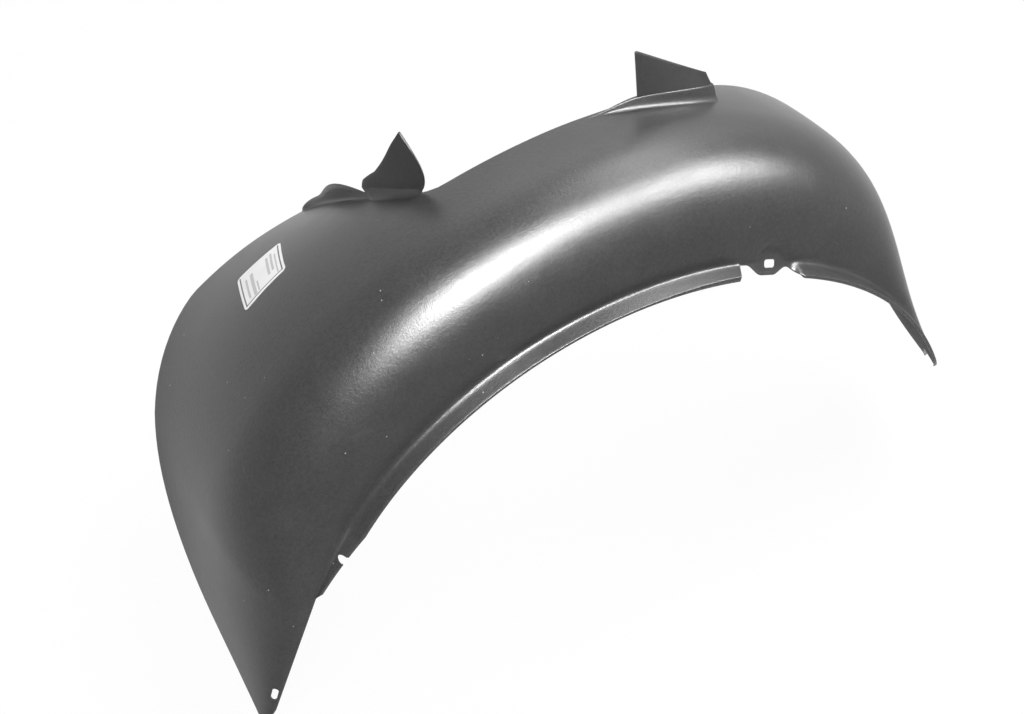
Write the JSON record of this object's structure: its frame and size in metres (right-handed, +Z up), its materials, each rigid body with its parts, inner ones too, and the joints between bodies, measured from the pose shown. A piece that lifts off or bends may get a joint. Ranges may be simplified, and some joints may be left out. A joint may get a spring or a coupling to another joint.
{
  "type": "inner fender panel",
  "caption": "Thin moulded wheel arch liner with a turned lip, a clip hole tab, an upright tab, a leaf tab and a slotted tail.",
  "frame": {"origin": "centre of the clip hole on the outer face of the fixing tab", "axes": "+X towards the nose end of the arch, +Y inboard across the panel, +Z up towards the crown"},
  "size_m": [0.7902, 0.337, 0.528],
  "materials": {
    "plastic": "satin moulded black plastic with fine grain",
    "label": "white sticker"
  },
  "bodies": {
    "root": {"panel": "plastic", "label": "label"}
  },
  "joints": []
}
